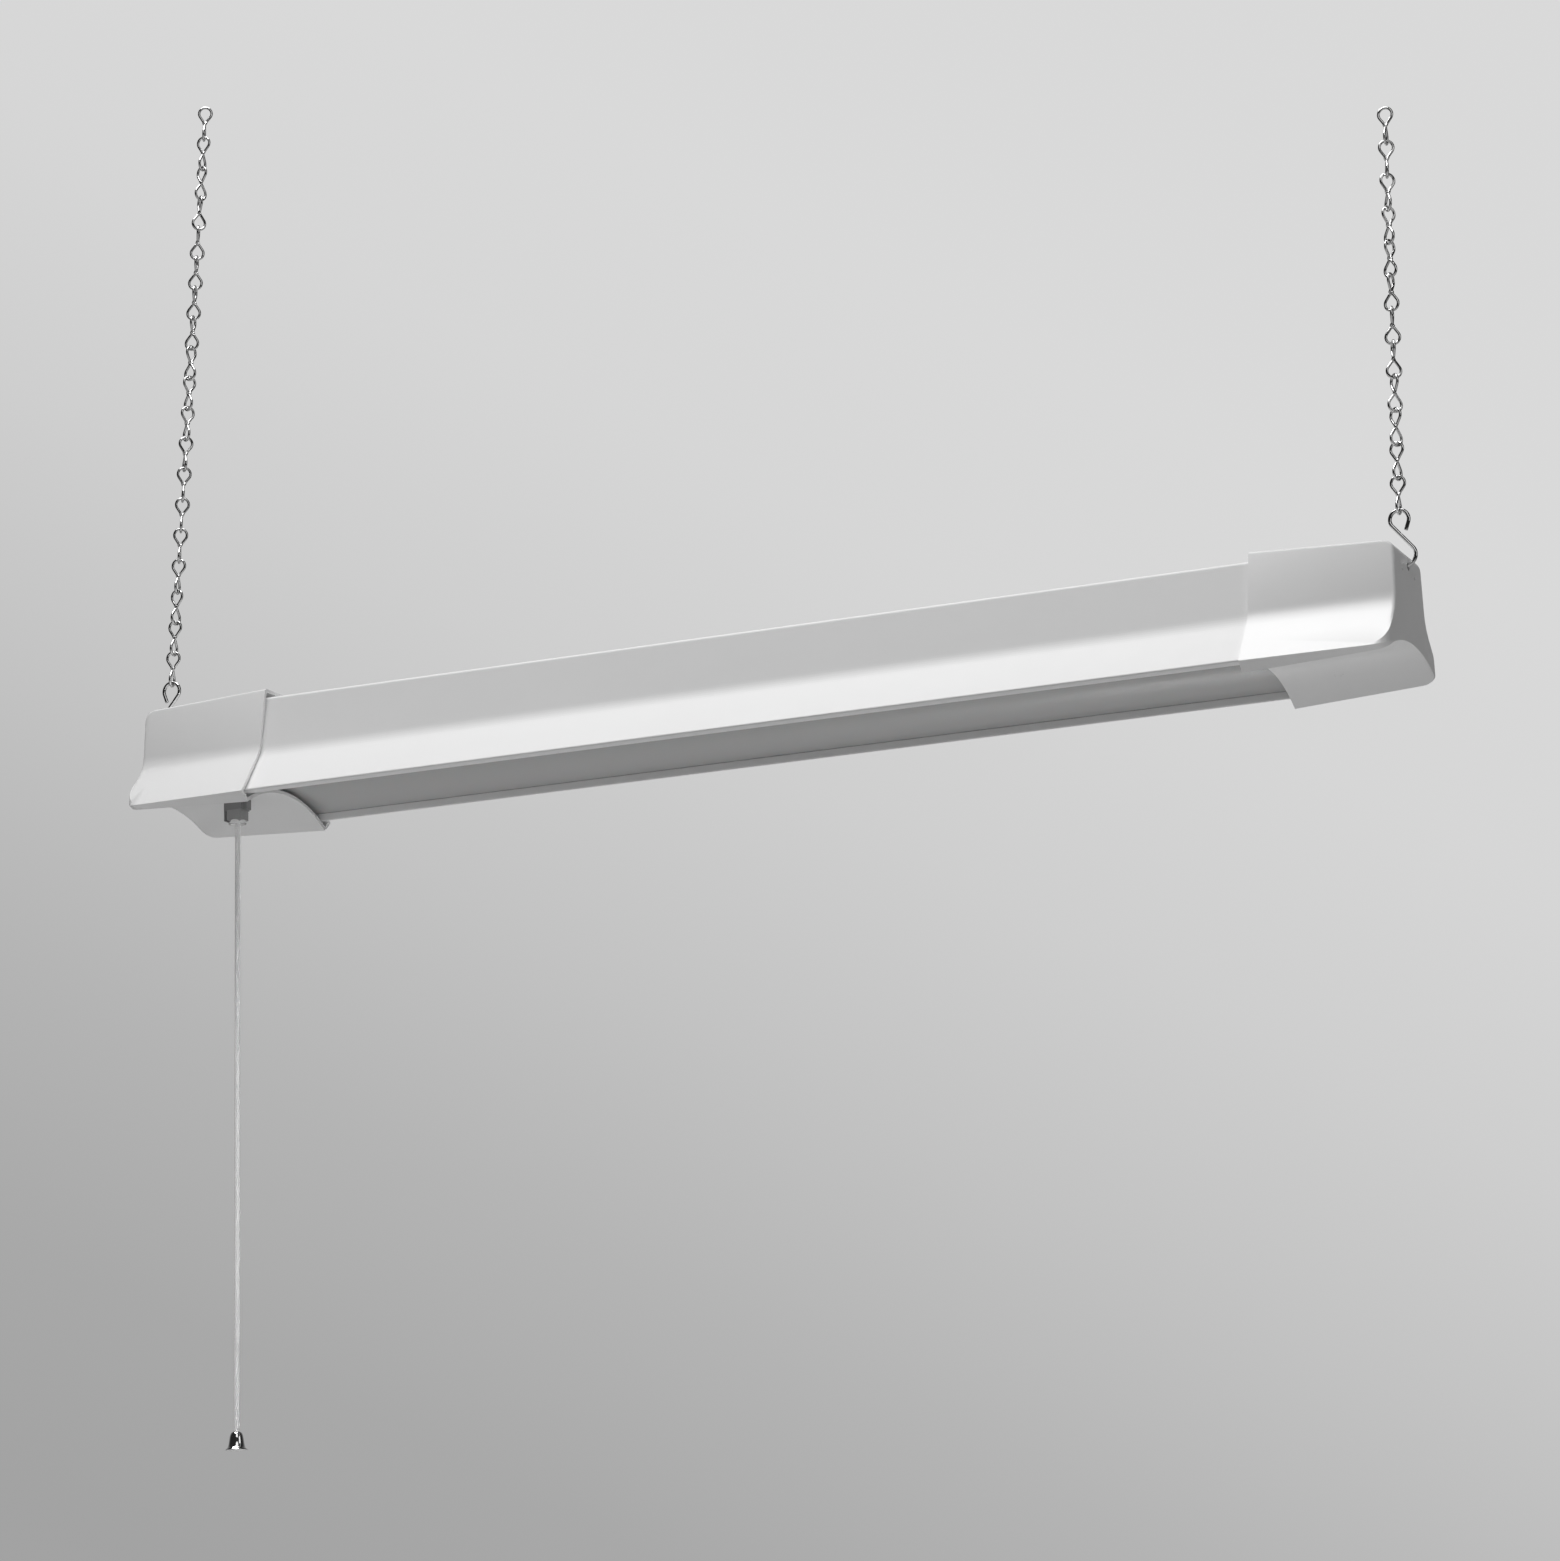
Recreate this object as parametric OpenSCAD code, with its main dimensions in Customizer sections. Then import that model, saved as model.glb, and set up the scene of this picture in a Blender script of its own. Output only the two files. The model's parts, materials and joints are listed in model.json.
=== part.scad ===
// Hanging shop light on two chains, with a pull-cord switch.
// X runs along the lamp, Y from its front to its back, Z up.
// The origin lies on the line between the two hanging points, above the lamp's middle.

/* [Housing] */
// Length of the lamp, end face to end face
lamp_l = 1168; // [1000:4:1400]
// Thickness of the folded steel sheet
sheet_t = 0.8; // [0.6:0.1:1.2]
// Width of the flat top
top_w = 68; // [66:1:74]
// Width at the knee, where the wall flares into the skirt
knee_w = 91; // [88:1:95]
// Width across the skirt's lower edges
skirt_w = 148; // [144:1:156]
// Height of the flat top
top_z = 94.6; // [92:0.2:105]
// Height of the knee
knee_z = 41; // [38:0.5:45]
// Height of the skirt's lower edge
skirt_z = 1.7; // [1.2:0.1:3]
// Depth of the turned-in lip
lip_w = 8; // [7:0.5:9]
// How far the lip slopes down
lip_drop = 2.2; // [1.5:0.1:3]
// Height of the lens flange above the lip
flange_h = 7; // [5:0.5:8]

/* [Lens] */
// Thickness of the diffuser
lens_t = 1.5; // [1:0.1:2]
// How far the diffuser arches up
lens_rise = 10.4; // [9:0.1:14]
// Gap between the diffuser and the skirt
lens_gap = 0.9; // [0.4:0.1:1.2]

/* [End caps] */
// Length of an end cap
cap_l = 123.5; // [112:0.5:135]
// Wall thickness of an end cap
cap_wall = 2.8; // [2.4:0.1:3.2]
// Gap between the housing and the cap that slides over it
cap_gap = 0.9; // [0.6:0.1:1.4]
// How far the housing reaches into a cap
cap_overlap = 25; // [20:0.5:30]
// Depth of the cap's lip at its mouth
cap_lip_w = 10.6; // [9:0.2:12]
// How far the cap's lip slopes down at its mouth
cap_lip_drop = 8.2; // [7:0.2:9]
// Height of the arch under the cap, at its mouth
arch_z = 11; // [10:0.5:12]
// How much the arch climbs towards the end face
arch_climb = 4.5; // [3:0.5:6]
// How much lower the end face is than the mouth
cap_drop = 6.3; // [5:0.1:7]
// How much narrower the skirt is at the end face, each side
cap_draw = 4; // [3:0.5:5]
// Room between the top of the housing and the cap
cap_room = 3.5; // [2.5:0.5:4.5]
// Radius of the end face's upper edge
cap_top_r = 10; // [9:0.5:11]
// Radius of the end face's vertical corners, seen from above
cap_corner_r = 15; // [14:0.5:18]

/* [Hooks] */
// Wire diameter of an S-hook
hook_d = 3.2; // [2.8:0.1:3.6]
// Radius of the upper loop
hook_top_r = 8; // [7:0.5:9]
// Radius of the lower loop
hook_low_r = 9.2; // [8.8:0.1:10]
// Height between the two loops' centres
hook_rise = 30.5; // [28:0.5:34]
// How far the upper loop lies inward of the lower one
hook_shift = 3; // [1:0.5:4]
// Diameter of the hook's hole in the end wall
hook_hole_d = 6.5; // [6:0.1:7.5]
// Thickness of the steel plate behind that hole
plate_t = 1.5; // [1:0.1:2]

/* [Chains] */
// Wire diameter of a link
link_d = 2.4; // [2:0.1:2.6]
// Outer width of a link
link_w = 14; // [13:0.5:15]
// Distance from one link to the next
link_pitch = 29; // [27:0.5:32]
// Number of links on the left
left_links = 19; // [6:1:24]
// Number of links on the right
right_links = 12; // [6:1:24]
// Turn of each link on the right against the one below it
right_twist = 16; // [0:1:22]
// Lean of the left chain towards the right
left_lean = 3.9; // [0:0.1:6]
// Lean of the right chain towards the right
right_lean = 1.5; // [0:0.1:6]

/* [Tray and lamps] */
// Distance from the end face to the tray that carries the boards
tray_inset = 119; // [119:1:134]
// Height of the tray's underside
tray_z = 58; // [56:1:60]
// Thickness of the tray
tray_t = 0.8; // [0.6:0.1:1.2]
// Height of the tray's side flanges
tray_flange_h = 9; // [6:1:10]
// Length of one circuit board
board_l = 440; // [430:1:440]
// Width of a circuit board
board_w = 24; // [20:1:28]
// Thickness of a circuit board
board_t = 1.6; // [1.2:0.1:2]
// Number of lamps on a board
led_n = 22; // [10:1:22]
// Distance from one lamp to the next
led_pitch = 20; // [18:1:20]

/* [Driver] */
// Length of the driver's case
driver_l = 160; // [150:1:180]
// Width of the driver's case
driver_w = 42; // [40:1:44]
// Height of the driver's case
driver_h = 25; // [24:1:28]
// Distance from the lamp's middle to the driver
driver_x = 250; // [220:1:300]
// Wall thickness of the driver's case
driver_wall = 1.2; // [1:0.1:1.5]

/* [Pull switch] */
// Distance from the end face to the switch
switch_inset = 73; // [71:0.5:75]
// Width of the switch case along the lamp
switch_w = 26; // [24:1:26]
// Depth of the switch case from front to back
switch_d = 20; // [18:1:24]
// Height of the switch case
switch_h = 30; // [29:1:34]
// Bore of the neck that the rod runs in
neck_bore_d = 9.6; // [9.4:0.1:10]
// Travel of the cord
pull_travel = 9; // [6:0.5:9]

/* [Cord] */
// Diameter of the pull cord
cord_d = 4.8; // [4.4:0.1:5]
// Height of the bell
bell_h = 16; // [14:0.5:18]
// Diameter of the bell's rim
bell_d = 20; // [17:0.5:22]
// Wall thickness of the bell
bell_wall = 1; // [0.8:0.1:1.2]

/* [Fasteners] */
// Shank diameter of the cap and tray screws
screw_d = 3.6; // [3:0.1:3.8]
// Head diameter of the cap and tray screws
screw_head_d = 7; // [6:0.2:7.4]
// Shank diameter of the small screws
small_screw_d = 2.6; // [2.4:0.1:3]
// Bore of the mains cord's gland
gland_bore_d = 8; // [6:0.5:9]

/* [Hidden] */
$fn = 48;

// General clearances
fit = 0.3;
slip = 0.1;
over = 1;

// Lamp geometry
end_x = lamp_l / 2;
mouth_x = end_x - cap_l;
channel_l = 2 * (mouth_x + cap_overlap);
cap_off = cap_gap + cap_wall;
lip_y = skirt_w / 2 - lip_w;
lip_z = skirt_z - lip_drop;
flange_top = lip_z + flange_h;
skirt_slope = (skirt_w - knee_w) / 2 / (knee_z - skirt_z);
wall_slope = (knee_w - top_w) / 2 / (top_z - knee_z);

// Radii of the folds in the housing
fold_r = 1.2;
top_fold_r = 3;
knee_r = 32;

// Sizes of the cap at its mouth and at its end face
mouth_top_y = top_w / 2 + cap_off;
mouth_knee_y = knee_w / 2 + cap_off;
mouth_skirt_y = skirt_w / 2 + 2 * cap_off;
mouth_top_z = top_z + cap_off + cap_room;
end_top_y = mouth_top_y + 1.8;
end_knee_y = mouth_knee_y - 5.2;
end_skirt_y = mouth_skirt_y - cap_draw;
end_top_z = mouth_top_z - cap_drop;
end_lip_w = cap_lip_w - 2.6;
end_lip_drop = cap_lip_drop - 6.2;
end_arch_z = arch_z + arch_climb;
cap_knee_z = knee_z + 1;
cap_edge_r = 2.5;
// Steps in half of the arch
arch_n = 8;
// Height of the crease between skirt and rim
crease_z = 1.5;
// How far the rim and the lip climb round the corner
skirt_climb = 5.5;
lip_climb = 7.4;

// Hook and chain geometry, on the right
hook_r = hook_d / 2;
link_r = link_d / 2;
link_gap = 0.3;
// Turn of each link of the left chain, from the hook up
left_turns = [11, 3, -8, 12, 26, 30, 34, 42, 55, 63, 80, 102, 108, 111, 116, 136, 160, 184, 205];
hook_low_x = end_x - 2;
hook_low_z = end_top_z - cap_room - 0.5;
hook_top_x = hook_low_x - hook_shift;
hook_top_z = hook_low_z + hook_rise;
hook_hole_z = hook_low_z - hook_low_r + hook_r + 2 * fit - hook_hole_d / 2;
hook_dist = sqrt(hook_shift * hook_shift + hook_rise * hook_rise);
// Slope of the straight between the loops, an inner tangent of both
hook_slope = atan2(hook_rise, hook_shift) - asin((hook_top_r + hook_low_r) / hook_dist);
link_len = link_pitch + link_d + link_gap;
loop_r = (link_w - link_d) / 2;
// The wires of a link meet inside a collar at its waist
waist_x = 1.25;
waist_z = 0.9;
waist_r = 2.75;
waist_h = 3.6;
first_link_z = hook_top_z + hook_top_r - hook_r - link_r - link_gap;

// Where each chain hangs: the inside of its last link's upper loop
left_reach = (left_links - 1) * link_pitch + link_len - link_r;
right_reach = (right_links - 1) * link_pitch + link_len - link_r;
left_hang = [-hook_top_x + left_reach * sin(left_lean), first_link_z + left_reach * cos(left_lean)];
right_hang = [hook_top_x + right_reach * sin(right_lean), first_link_z + right_reach * cos(right_lean)];
hang_z = left_hang[1] - left_hang[0] * (right_hang[1] - left_hang[1]) / (right_hang[0] - left_hang[0]);

// Gear tray and what it carries
tray_top = tray_z + tray_t;
tray_flange_z = tray_top + tray_flange_h;
tray_y = knee_w / 2 - sheet_t - fit - wall_slope * (tray_flange_z - knee_z);
standoff_d = 7;
standoff_y = tray_y - 11.5;
tray_l = lamp_l - 2 * tray_inset;
standoff_xs = [-0.43 * tray_l, -0.11 * tray_l, 0.15 * tray_l, 0.43 * tray_l];
standoff_h = top_z - sheet_t - tray_top;
board_x = 5;
board_z = tray_z - board_t;
led_size = 5;
led_h = 1;
led_first = 15;
board_screw_steps = [0, floor(led_n / 2) - 1, led_n - 2];

// Screws
screw_head_h = 2;
small_head_d = 5;
small_head_h = 1.6;
cap_screw_x = mouth_x + cap_overlap / 2;
cap_screw_y = 18;
cap_screw_seat = mouth_top_z - cap_drop * (cap_screw_x - mouth_x) / cap_l - 0.6;

// Driver
driver_z = tray_top;
driver_tab_l = 11;
driver_board_z = driver_z + 5;
driver_board_t = 1.6;
driver_top = driver_z + driver_h;

// Pull switch
switch_x = -(end_x - switch_inset);
switch_arch_z = end_arch_z - arch_climb * switch_inset / cap_l;
switch_z = switch_arch_z + cap_wall + 1.8;
switch_wall = 1.6;
switch_floor = 2;
switch_top = switch_z + switch_h;
neck_wall = 1.4;
neck_d = neck_bore_d + 2 * neck_wall;
neck_hole_d = neck_d + 2 * fit;
block_w = 23.4;
block_d = 8;
block_z = 2.5;
block_tab_t = 1.5;
nut_w = 14.2;
nut_z = -6.5;
mouth_z = nut_z - 3.4;
neck_z = nut_z + 1;
rod_d = 4;
ball_d = 6.4;
ball_z = -4.5;
cup_r = ball_d / 2 + fit;
cup_wall = 0.8;
cup_open_r = 3.1;
cup_open_z = ball_z - sqrt(cup_r * cup_r - cup_open_r * cup_open_r);
collar_z = switch_z + switch_floor + 14.5;
collar_h = 2;
collar_d = 7.6;
rod_top = collar_z + 8.5;
rotor_x = 6.9;
rotor_r = 4.2;
rotor_t = 5;
rotor_teeth = 8;
rotor_z = collar_z + collar_h + 6;
rotor_pin_d = 2;
leaf_gap = 0.6;
leaf_t = 0.6;
spring_r = 3;
spring_wire_r = 0.35;
spring_turns = 5;

// Mains terminal and gland, in the left cap
gland_z = 42;
gland_d = 16;
gland_flange_d = 22;
gland_flange_t = 2.5;
gland_len = 11;
gland_nut_t = 5;
terminal_x = -(end_x - 38);
terminal_l = 18;
terminal_w = 20;
terminal_h = 12;
terminal_z = end_arch_z - arch_climb * 38 / cap_l + cap_wall + 1.8;

// Pull cord: its route from the ball down to the knot, as offsets from the switch
cord_top_z = ball_z - ball_d / 2 - 0.2;
cord_route = [
  [0, 0, cord_top_z], [0, 0, -22], [-0.1, 0, -42], [-0.3, 0, -60], [-1, 0, -160],
  [-1.8, 0, -280], [-2.6, 0, -400], [-3.4, 0, -500], [-4, 0, -556]
];
cord_end = cord_route[len(cord_route) - 1];
knot_d = 7.2;
knot_z = cord_end[2] - sqrt(knot_d * knot_d - cord_d * cord_d) / 2;
bell_top_z = knot_z + knot_d / 2 + fit + bell_wall;
bell_neck_d = 10;

// Routes of the leads inside, as points in the lamp
lead_d = 2.2;
lead_y = 6;
tray_lead_z = tray_top + 12;
lamp_lead_x = driver_x - driver_l / 2 - driver_tab_l - 14;
grommet_hole_d = 8;

// ---------------------------------------------------------------- functions

function unit(v) = v / norm(v);

// Points of a fillet of radius r at corner p, between its neighbours a and b
function fillet(a, p, b, r, n) =
  let (
    u = unit(a - p),
    v = unit(b - p),
    half = acos(max(-1, min(1, u * v))) / 2,
    c = p + unit(u + v) * r / sin(half),
    s = p + u * r / tan(half) - c,
    e = p + v * r / tan(half) - c,
    a0 = atan2(s[1], s[0]),
    turn = atan2(s[0] * e[1] - s[1] * e[0], s * e)
  )
  [for (i = [0:n]) c + r * [cos(a0 + turn * i / n), sin(a0 + turn * i / n)]];

// An open path moved sideways by t, to its right
function moved_path(p, t) = [
  for (i = [0:len(p) - 1])
    let (
      u = unit(p[min(i + 1, len(p) - 1)] - p[min(i, len(p) - 2)]),
      v = unit(p[max(i, 1)] - p[max(i - 1, 0)]),
      m = unit(u + v),
      k = t / (m * v)
    )
    p[i] + k * [m[1], -m[0]]
];

function flipped(p) = [for (i = [len(p) - 1:-1:0]) [-p[i][0], p[i][1]]];

function reversed(p) = [for (i = [len(p) - 1:-1:0]) p[i]];

// How far a rounded corner of radius r is cut back at distance d from the end face
function cut(r, d) = d >= r ? 0 : r - sqrt(r * r - (r - d) * (r - d));

// A size that runs evenly from the end face to the mouth of a cap
function along(at_end, at_mouth, d) = at_end + (at_mouth - at_end) * d / cap_l;

// Height of an arch with the given crown and edge, at distance y from its middle
function arch(crown, edge_y, edge_z, y) =
  let (s = crown - edge_z, r = (edge_y * edge_y + s * s) / (2 * s))
  crown - r + sqrt(r * r - y * y);

// Half of a cap's section at distance d from the end face, from its top to its lip.
// t is how far it is drawn in: 0 for the outside, the wall for the inside.
function cap_half(d, t) =
  let (
    e = max(d - 0.8 * t, 0),
    top = [along(end_top_y, mouth_top_y, d) - cut(cap_edge_r, e) - t,
           along(end_top_z, mouth_top_z, d) - cut(cap_top_r - 1.6 * t, e) - t],
    knee_y = along(end_knee_y, mouth_knee_y, d),
    skirt_y = along(end_skirt_y, mouth_skirt_y, d),
    knee = [knee_y - cut(cap_edge_r, e) - t, cap_knee_z],
    slope = (skirt_y - knee_y) / cap_knee_z,
    skirt_cut = cut(cap_corner_r, e),
    low_z = crease_z + skirt_cut / slope,
    mid_z = (low_z + cap_knee_z) / 2,
    mid = [skirt_y - slope * mid_z - cut(cap_edge_r, e) - 1.25 * t, mid_z],
    low = [skirt_y - slope * low_z - 1.3 * t, low_z],
    skirt = [skirt_y - skirt_cut - 1.4 * t,
             skirt_climb * skirt_cut / cap_corner_r + 0.2 * t],
    lip_r = cap_corner_r * 0.76,
    lip_cut = cut(lip_r, e),
    lip = [skirt_y - along(end_lip_w, cap_lip_w, d) - lip_cut + 0.1 * t,
           lip_climb * lip_cut / lip_r - along(end_lip_drop, cap_lip_drop, d) + 1.25 * t]
  )
  concat(
    fillet([0, top[1]], top, knee, top_fold_r, 3),
    fillet(top, knee, mid, knee_r + 2, 6),
    [mid, low, skirt, lip]
  );

function cap_ring(d, t) =
  let (
    half = cap_half(d, t),
    lip = half[len(half) - 1],
    crown = along(end_arch_z, arch_z, d) + t
  )
  concat(
    half,
    [for (i = [1:2 * arch_n - 1])
      let (y = lip[0] * (1 - i / arch_n)) [y, arch(crown, lip[0], lip[1], y)]],
    flipped(half)
  );

// Triangles that close the end of a cap's ring, as places in it. A section has
// fillet points down to the knee, then the corners mid, low, skirt and lip, then the arch.
function cap_end() =
  let (
    knee = 10,
    mid = knee + 1,
    low = knee + 2,
    skirt = knee + 3,
    lip = knee + 4,
    last = 2 * (lip + arch_n),
    side = concat(
      [for (j = [6:arch_n]) [knee, lip + j - 1, lip + j]],
      [[knee, mid, lip + 5], [mid, lip + 4, lip + 5], [mid, lip + 3, lip + 4]],
      [[mid, low, lip + 3], [low, lip + 2, lip + 3], [low, lip + 1, lip + 2]],
      [[low, skirt, lip + 1], [skirt, lip, lip + 1]]
    )
  )
  concat(
    [for (k = [0:knee - 1]) each [[k, k + 1, last - 1 - k], [k, last - 1 - k, last - k]]],
    [[knee, lip + arch_n, last - knee]],
    side,
    [for (t = side) [last - t[2], last - t[1], last - t[0]]]
  );

// Outline of the housing from its top middle to the right lens flange, outside face
function channel_half() =
  let (
    top = [top_w / 2, top_z],
    knee = [knee_w / 2, knee_z],
    skirt = [skirt_w / 2, skirt_z],
    lip = [lip_y, lip_z],
    edge = [lip_y, flange_top]
  )
  concat(
    fillet([0, top_z], top, knee, top_fold_r, 4),
    fillet(top, knee, skirt, knee_r, 6),
    fillet(knee, skirt, lip, fold_r, 3),
    fillet(skirt, lip, edge, fold_r, 3),
    [edge]
  );

// ------------------------------------------------------------------ helpers

// Everything is drawn with the cap's skirt at height 0, then hung below the origin
module hung() {
  translate([0, 0, -hang_z]) children();
}

module left_side() {
  mirror([1, 0, 0]) children();
}

// A flat outline of Y and Z, drawn out along X about the middle
module along_x(l) {
  rotate([90, 0, 90]) linear_extrude(height = l, center = true) children();
}

// A solid through equal rings of points, listed clockwise seen from +X.
// The triangles close a ring at either end.
module loft(rings, triangles) {
  n = len(rings[0]);
  last = len(rings) - 1;
  points = [for (ring = rings) each ring];
  sides = [
    for (k = [0:last - 1], i = [0:n - 1])
      let (a = k * n + i, b = k * n + (i + 1) % n)
      each [[a, a + n, b + n], [a, b + n, b]]
  ];
  near = triangles;
  far = [for (t = triangles) [last * n + t[2], last * n + t[1], last * n + t[0]]];
  polyhedron(points = points, faces = concat(near, far, sides), convexity = 8);
}

// A tube of n sides swept along points
module tube(points, r, n) {
  last = len(points) - 1;
  function dir(i) = unit(points[min(i + 1, last)] - points[max(i - 1, 0)]);
  function side(i) = unit(cross(dir(i), abs(dir(i)[0]) > 0.9 ? [0, 0, 1] : [1, 0, 0]));
  rings = [
    for (i = [0:last])
      let (u = side(i), v = cross(dir(i), u))
      [for (k = [0:n - 1]) points[i] + r * (u * cos(360 * k / n) + v * sin(360 * k / n))]
  ];
  faces = [
    for (j = [0:last - 1], k = [0:n - 1])
      let (a = j * n + k, b = j * n + (k + 1) % n)
      each [[a, a + n, b + n], [a, b + n, b]]
  ];
  ends = [[for (k = [0:n - 1]) k], [for (k = [n - 1:-1:0]) last * n + k]];
  polyhedron(points = [for (ring = rings) each ring], faces = concat(ends, faces), convexity = 6);
}

// Points along a route, no further apart than step, rounded where the route turns
function spread(route, step) = [
  for (i = [0:len(route) - 2])
    let (n = ceil(norm(route[i + 1] - route[i]) / step))
    each [for (k = [0:n - 1]) route[i] + (route[i + 1] - route[i]) * k / n],
  route[len(route) - 1]
];

// A round rod between two points
module rod(a, b, r) {
  v = b - a;
  translate(a)
    rotate([0, acos(v[2] / norm(v)), atan2(v[1], v[0])])
      cylinder(h = norm(v), r = r);
}

// An arc of round wire in the X-Z plane
module wire_arc(x, z, r, from, to, wire_r) {
  translate([x, 0, z]) rotate([90, 0, 0]) rotate([0, 0, from])
    rotate_extrude(angle = to - from) translate([r, 0]) circle(r = wire_r);
}

// A pan-head screw, its head on top of the seat at height 0
module screw(d, l, head_d, head_h) {
  translate([0, 0, -l]) cylinder(h = l, d = d);
  difference() {
    cylinder(h = head_h, d = head_d);
    for (a = [0, 90])
      rotate(a) translate([-head_d * 0.3, -0.4, head_h * 0.5])
        cube([head_d * 0.6, 0.8, head_h]);
  }
}

// ------------------------------------------------------------------ housing

module channel_outline() {
  half = channel_half();
  outer = concat(flipped(half), half);
  polygon(concat(outer, reversed(moved_path(outer, sheet_t))));
}

module housing_channel() {
  color("white") hung() difference() {
    along_x(channel_l) channel_outline();
    for (s = [-1, 1], y = [-1, 1])
      translate([s * cap_screw_x, y * cap_screw_y, top_z - sheet_t - over])
        cylinder(h = sheet_t + 2 * over, d = screw_d + slip);
  }
}

// The space under the arch of a cap is open; this is the moulding round it
module end_cap() {
  ends = [0, 0.3, 1, 2, 3.5, 5.5, 8, 11, cap_corner_r, cap_l];
  socket = cap_l - cap_overlap - over;
  // Depth of each ring of the hollow, and the depth whose section it takes
  inner = concat([for (d = [cap_wall, 3.4, 4.4, 6, 9, 13, cap_corner_r + cap_wall, socket - 2]) [d, d]],
    [[socket, cap_l], [cap_l + over, cap_l]]);
  difference() {
    union() {
      difference() {
        loft([for (d = ends) [for (p = cap_ring(d, 0)) [end_x - d, p[0], p[1]]]], cap_end());
        loft([for (d = inner) [for (p = cap_ring(d[1], cap_wall)) [end_x - d[0], p[0], p[1]]]],
          cap_end());
      }
      for (y = [-1, 1]) translate([cap_screw_x, y * cap_screw_y, top_z + fit])
        cylinder(h = cap_screw_seat - 1 - top_z - fit, d = screw_head_d + 1.5);
      children(0);
    }
    translate([end_x - cap_wall - over, 0, hook_hole_z]) rotate([0, 90, 0])
      cylinder(h = cap_wall + 2 * over, d = hook_hole_d);
    for (y = [-1, 1]) {
      translate([cap_screw_x, y * cap_screw_y, top_z]) cylinder(h = 9, d = screw_d + 2 * fit);
      translate([cap_screw_x, y * cap_screw_y, cap_screw_seat])
        cylinder(h = 5, d = screw_head_d + 2 * fit);
      translate([end_x - cap_wall - over, y * plate_screw_y, plate_screw_z]) rotate([0, 90, 0])
        cylinder(h = cap_wall + 2 * over, d = small_screw_d + slip);
    }
    children(1);
  }
}

module left_end_cap() {
  seat_r = neck_hole_d / 2 + 5;
  color("white") hung() left_side() end_cap() {
    union() {
      translate([-switch_x, 0, switch_arch_z + 1])
        cylinder(h = switch_z - switch_arch_z - 1, r = seat_r);
      translate([-terminal_x - terminal_l / 2, -terminal_w / 2, switch_arch_z + 1.5])
        cube([terminal_l, terminal_w, terminal_z - switch_arch_z - 1.5]);
    }
    union() {
      translate([-switch_x, 0, switch_arch_z - 5]) cylinder(h = 20, d = neck_hole_d);
      translate([end_x - cap_wall - over, 0, gland_z]) rotate([0, 90, 0])
        cylinder(h = cap_wall + 2 * over, d = gland_d + fit);
    }
  }
}

module right_end_cap() {
  color("white") hung() end_cap() {
    union() {}
    union() {}
  }
}

module diffuser() {
  half_w = skirt_w / 2 - skirt_slope * (flange_top + lens_t - skirt_z) - sheet_t - lens_gap;
  land_y = lip_y - 1;
  seat = flange_top + fit;
  n = 12;
  ys = [for (i = [0:2 * n]) land_y * (i / n - 1)];
  low = [for (y = ys) [y, arch(seat + lens_rise, land_y, seat, y)]];
  high = [for (p = reversed(low)) [p[0], p[1] + lens_t]];
  color("gainsboro") hung() along_x(channel_l - 2 * fit)
    polygon(concat([[-half_w, seat]], low, [[half_w, seat], [half_w, seat + lens_t]],
      high, [[-half_w, seat + lens_t]]));
}

module cap_screws() {
  color("silver") hung() for (s = [-1, 1], y = [-1, 1])
    translate([s * cap_screw_x, y * cap_screw_y, cap_screw_seat])
      screw(screw_d, cap_screw_seat - top_z + 6, screw_head_d, screw_head_h);
}

// -------------------------------------------------------- hooks and chains

plate_w = 44;
plate_h = 22;
plate_screw_y = plate_w / 2 - 5;
plate_screw_z = hook_hole_z - 6;
plate_top = hook_hole_z + hook_hole_d / 2 + 1.4;

module hook() {
  n = [sin(hook_slope), cos(hook_slope)];
  start = [hook_top_x - hook_top_r * n[0], hook_top_z - hook_top_r * n[1]];
  stop = [hook_low_x + hook_low_r * n[0], hook_low_z + hook_low_r * n[1]];
  u = unit(stop - start);
  tail_a = -20;
  tail = [hook_top_x + hook_top_r * cos(tail_a), hook_top_z + hook_top_r * sin(tail_a)];
  tail_u = [sin(tail_a), -cos(tail_a)];
  thin = hook_r - 0.03;
  wire_arc(hook_top_x, hook_top_z, hook_top_r, tail_a, 270 - hook_slope, hook_r);
  wire_arc(hook_low_x, hook_low_z, hook_low_r, -145, 90 - hook_slope, hook_r);
  rod([start[0] - 0.3 * u[0], 0, start[1] - 0.3 * u[1]],
      [stop[0] + 0.3 * u[0], 0, stop[1] + 0.3 * u[1]], thin);
  rod([tail[0] - 0.3 * tail_u[0], 0, tail[1] - 0.3 * tail_u[1]],
      [tail[0] + 7.5 * tail_u[0], 0, tail[1] + 7.5 * tail_u[1]], thin);
}

module left_hook() {
  color("lightgray") hung() left_side() hook();
}

module right_hook() {
  color("lightgray") hung() hook();
}

// A steel plate that spreads the hook's load over the inside of the end wall
module hook_plate() {
  difference() {
    translate([end_x - cap_wall - fit - plate_t, -plate_w / 2, plate_top - plate_h])
      cube([plate_t, plate_w, plate_h]);
    translate([end_x - cap_wall - 6, 0, hook_hole_z]) rotate([0, 90, 0])
      cylinder(h = 8, d = hook_hole_d);
    for (y = [-1, 1])
      translate([end_x - cap_wall - 6, y * plate_screw_y, plate_screw_z]) rotate([0, 90, 0])
        cylinder(h = 8, d = small_screw_d + slip);
  }
}

module left_hook_plate() {
  color("silver") hung() left_side() hook_plate();
}

module right_hook_plate() {
  color("silver") hung() hook_plate();
}

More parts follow.
